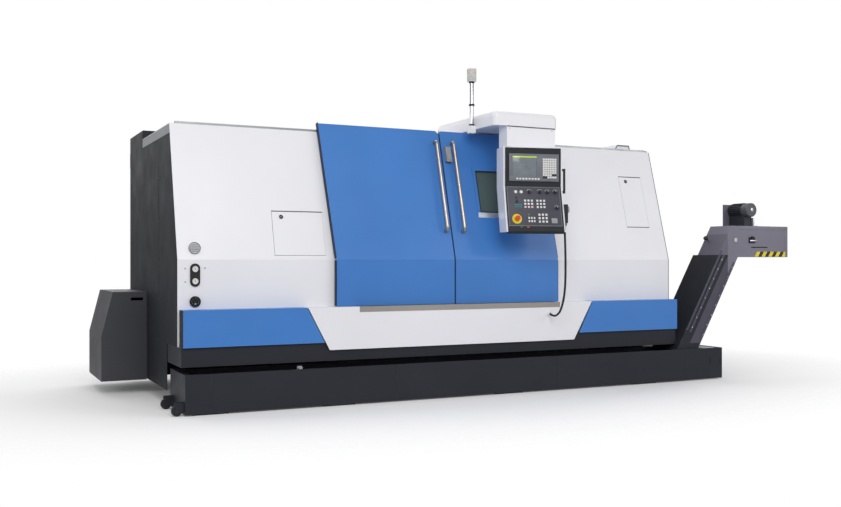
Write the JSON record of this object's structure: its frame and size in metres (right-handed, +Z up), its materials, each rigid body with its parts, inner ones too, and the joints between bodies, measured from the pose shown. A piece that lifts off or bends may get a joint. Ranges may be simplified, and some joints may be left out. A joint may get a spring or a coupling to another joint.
{
  "type": "slant-bed cnc turning lathe",
  "caption": "Slant-bed CNC turning lathe with sliding doors, swivelling operator panel, coolant tank along the front and an inclined chip conveyor with discharge head.",
  "frame": {"origin": "on the floor under the middle of the machine body, at the underside of the middle levelling foot", "axes": "+X along the spindle to the operator's right, +Y to the rear, +Z up"},
  "size_m": [6.206, 2.4819, 2.712],
  "materials": {
    "white_paint": "satin",
    "blue_paint": "satin",
    "charcoal_paint": "satin",
    "base_paint": "satin",
    "head_paint": "satin",
    "sill_paint": "satin",
    "steel": "brushed",
    "ground_steel": "polished",
    "casting": "matt",
    "motor_paint": "matt",
    "black_plastic": "matt",
    "grey_plastic": "matt",
    "white_plastic": "gloss",
    "red_plastic": "gloss",
    "rubber": "matt",
    "window": "clear"
  },
  "bodies": {
    "machine": {"bed_casting": "casting", "levelling_feet": "steel", "guideways": "ground_steel", "headstock": "casting", "drive_motors": "motor_paint", "drive_belt": "rubber", "plinth": "base_paint", "front_skirts": "blue_paint", "centre_apron": "white_paint", "sill_rail": "sill_paint", "left_front_cover": "white_paint", "right_front_cover": "white_paint", "end_and_rear_panels": "charcoal_paint", "roof": "white_paint", "door_top_rail": "steel", "work_area_walls": "steel", "electrical_cabinet": "charcoal_paint", "service_box": "charcoal_paint", "front_gauges": "grey_plastic", "overhead_arm": "white_paint", "signal_lamp": "grey_plastic", "coolant_tank": "base_paint", "conveyor_casing": "base_paint", "conveyor_belt": "steel", "discharge_head": "head_paint", "gearmotor": "motor_paint", "hand_unit_cable": "rubber"},
    "left_sliding_door": {"left_door": "blue_paint", "left_door_handle": "steel"},
    "right_sliding_door": {"right_door": "blue_paint", "right_door_handle": "steel", "window_glass": "window"},
    "cabinet_door": {"cabinet_door": "charcoal_paint"},
    "left_access_door": {"left_access_door": "white_paint"},
    "right_access_door": {"right_access_door": "white_paint"},
    "spindle": {"spindle": "ground_steel", "chuck_body": "ground_steel"},
    "motor_pulley": {"motor_pulley": "steel"},
    "chuck_jaw_1": {"chuck_jaw_1": "steel"},
    "chuck_jaw_2": {"chuck_jaw_2": "steel"},
    "chuck_jaw_3": {"chuck_jaw_3": "steel"},
    "saddle": {"saddle": "casting"},
    "z_ball_screw": {"z_ball_screw": "ground_steel"},
    "cross_slide": {"cross_slide": "casting", "turret_housing": "casting"},
    "turret": {"turret_disc": "steel"},
    "tailstock": {"tailstock_body": "casting"},
    "quill": {"tailstock_quill": "ground_steel"},
    "live_centre": {"live_centre": "ground_steel"},
    "panel": {"panel_housing": "white_paint", "panel_fascia": "black_plastic", "hand_unit": "black_plastic"},
    "mode_knob": {"mode_knob": "black_plastic"},
    "feed_override_knob": {"feed_override_knob": "black_plastic"},
    "cycle_start_button": {"cycle_start_button": "white_plastic"},
    "feed_hold_button": {"feed_hold_button": "white_plastic"},
    "emergency_stop": {"emergency_stop": "red_plastic"},
    "handwheel": {"handwheel": "grey_plastic"},
    "caster_wheels": {"caster_wheels": "rubber"},
    "conveyor_head_shaft": {"conveyor_head_shaft": "steel"}
  },
  "joints": [
    {"name": "left_door_slide", "type": "slide", "parent": "machine", "child": "left_sliding_door", "axis": [-1, 0, 0], "range_m": [0, 0.96]},
    {"name": "right_door_slide", "type": "slide", "parent": "machine", "child": "right_sliding_door", "axis": [1, 0, 0], "range_m": [0, 0.96]},
    {"name": "cabinet_door_hinge", "type": "hinge", "parent": "machine", "child": "cabinet_door", "pos_m": [-2.241, 1.005, 1], "axis": [0, 0, 1], "range_deg": [0, 110]},
    {"name": "left_access_hinge", "type": "hinge", "parent": "machine", "child": "left_access_door", "pos_m": [-1.1134, -0.95728, 1.3], "axis": [0, -0.2696, -0.963], "range_deg": [-85, 0]},
    {"name": "right_access_hinge", "type": "hinge", "parent": "machine", "child": "right_access_door", "pos_m": [2.0896, -0.87328, 1.6], "axis": [0, -0.2696, -0.963], "range_deg": [-85, 0]},
    {"name": "spindle_turn", "type": "hinge", "parent": "machine", "child": "spindle", "pos_m": [-1.5, -0.42, 1.18], "axis": [1, 0, 0], "continuous": true},
    {"name": "motor_pulley_turn", "type": "hinge", "parent": "machine", "child": "motor_pulley", "pos_m": [-1.93, -0.33, 1.79], "axis": [1, 0, 0], "continuous": true},
    {"name": "chuck_jaw_1_slide", "type": "slide", "parent": "spindle", "child": "chuck_jaw_1", "axis": [0, 0, 1], "range_m": [0, 0.012]},
    {"name": "chuck_jaw_2_slide", "type": "slide", "parent": "spindle", "child": "chuck_jaw_2", "axis": [0, -0.866, -0.5], "range_m": [0, 0.012]},
    {"name": "chuck_jaw_3_slide", "type": "slide", "parent": "spindle", "child": "chuck_jaw_3", "axis": [0, 0.866, -0.5], "range_m": [0, 0.012]},
    {"name": "saddle_slide", "type": "slide", "parent": "machine", "child": "saddle", "axis": [1, 0, 0], "range_m": [-0.6, 0.35]},
    {"name": "z_screw_turn", "type": "hinge", "parent": "machine", "child": "z_ball_screw", "pos_m": [0, -0.01129, 1.15313], "axis": [1, 0, 0], "range_deg": [-18100, 10600]},
    {"name": "cross_slide", "type": "slide", "parent": "saddle", "child": "cross_slide", "axis": [0, 0.7071, 0.7071], "range_m": [-0.09, 0.11]},
    {"name": "turret_index", "type": "hinge", "parent": "cross_slide", "child": "turret", "pos_m": [0, -0.17251, 1.42749], "axis": [1, 0, 0], "continuous": true},
    {"name": "tailstock_slide", "type": "slide", "parent": "machine", "child": "tailstock", "axis": [1, 0, 0], "range_m": [-0.1, 0.25]},
    {"name": "quill_slide", "type": "slide", "parent": "tailstock", "child": "quill", "axis": [-1, 0, 0], "range_m": [0, 0.12]},
    {"name": "live_centre_turn", "type": "hinge", "parent": "quill", "child": "live_centre", "pos_m": [0.8, -0.42, 1.18], "axis": [1, 0, 0], "continuous": true},
    {"name": "panel_swivel", "type": "hinge", "parent": "machine", "child": "panel", "pos_m": [0.608, -1.206, 2.03], "axis": [0, 0, 1], "range_deg": [-16, 44], "deforming": ["hand_unit_cable"]},
    {"name": "mode_knob_turn", "type": "hinge", "parent": "panel", "child": "mode_knob", "pos_m": [0.54386, -1.30619, 1.658], "axis": [-0.2353, -0.9438, 0.2322], "range_deg": [-120, 120]},
    {"name": "feed_override_turn", "type": "hinge", "parent": "panel", "child": "feed_override_knob", "pos_m": [0.6312, -1.3279, 1.65798], "axis": [-0.2353, -0.9438, 0.2322], "range_deg": [-120, 120]},
    {"name": "cycle_start_press", "type": "slide", "parent": "panel", "child": "cycle_start_button", "axis": [0.2353, 0.9438, -0.2322], "range_m": [0, 0.003], "stiffness_N_per_m": 400},
    {"name": "feed_hold_press", "type": "slide", "parent": "panel", "child": "feed_hold_button", "axis": [0.2353, 0.9438, -0.2322], "range_m": [0, 0.003], "stiffness_N_per_m": 400},
    {"name": "emergency_stop_press", "type": "slide", "parent": "panel", "child": "emergency_stop", "axis": [0.2353, 0.9438, -0.2322], "range_m": [0, 0.005], "stiffness_N_per_m": 1000},
    {"name": "handwheel_turn", "type": "hinge", "parent": "panel", "child": "handwheel", "pos_m": [0.85849, -1.38553, 1.519], "axis": [0.9703, -0.2419, 0], "continuous": true},
    {"name": "caster_roll", "type": "hinge", "parent": "machine", "child": "caster_wheels", "pos_m": [-2.285, -0.96, 0.0373], "axis": [0, 1, 0], "continuous": true},
    {"name": "conveyor_shaft_turn", "type": "hinge", "parent": "machine", "child": "conveyor_head_shaft", "pos_m": [2.92199, -1.02, 1.29], "axis": [0, 1, 0], "continuous": true}
  ],
  "couplings": [
    {"joint": "motor_pulley_turn", "follows": "spindle_turn", "ratio": 1.619},
    {"joint": "chuck_jaw_2_slide", "follows": "chuck_jaw_1_slide", "ratio": 1},
    {"joint": "chuck_jaw_3_slide", "follows": "chuck_jaw_1_slide", "ratio": 1},
    {"joint": "z_screw_turn", "follows": "saddle_slide", "rad_per_m": 523.6}
  ]
}
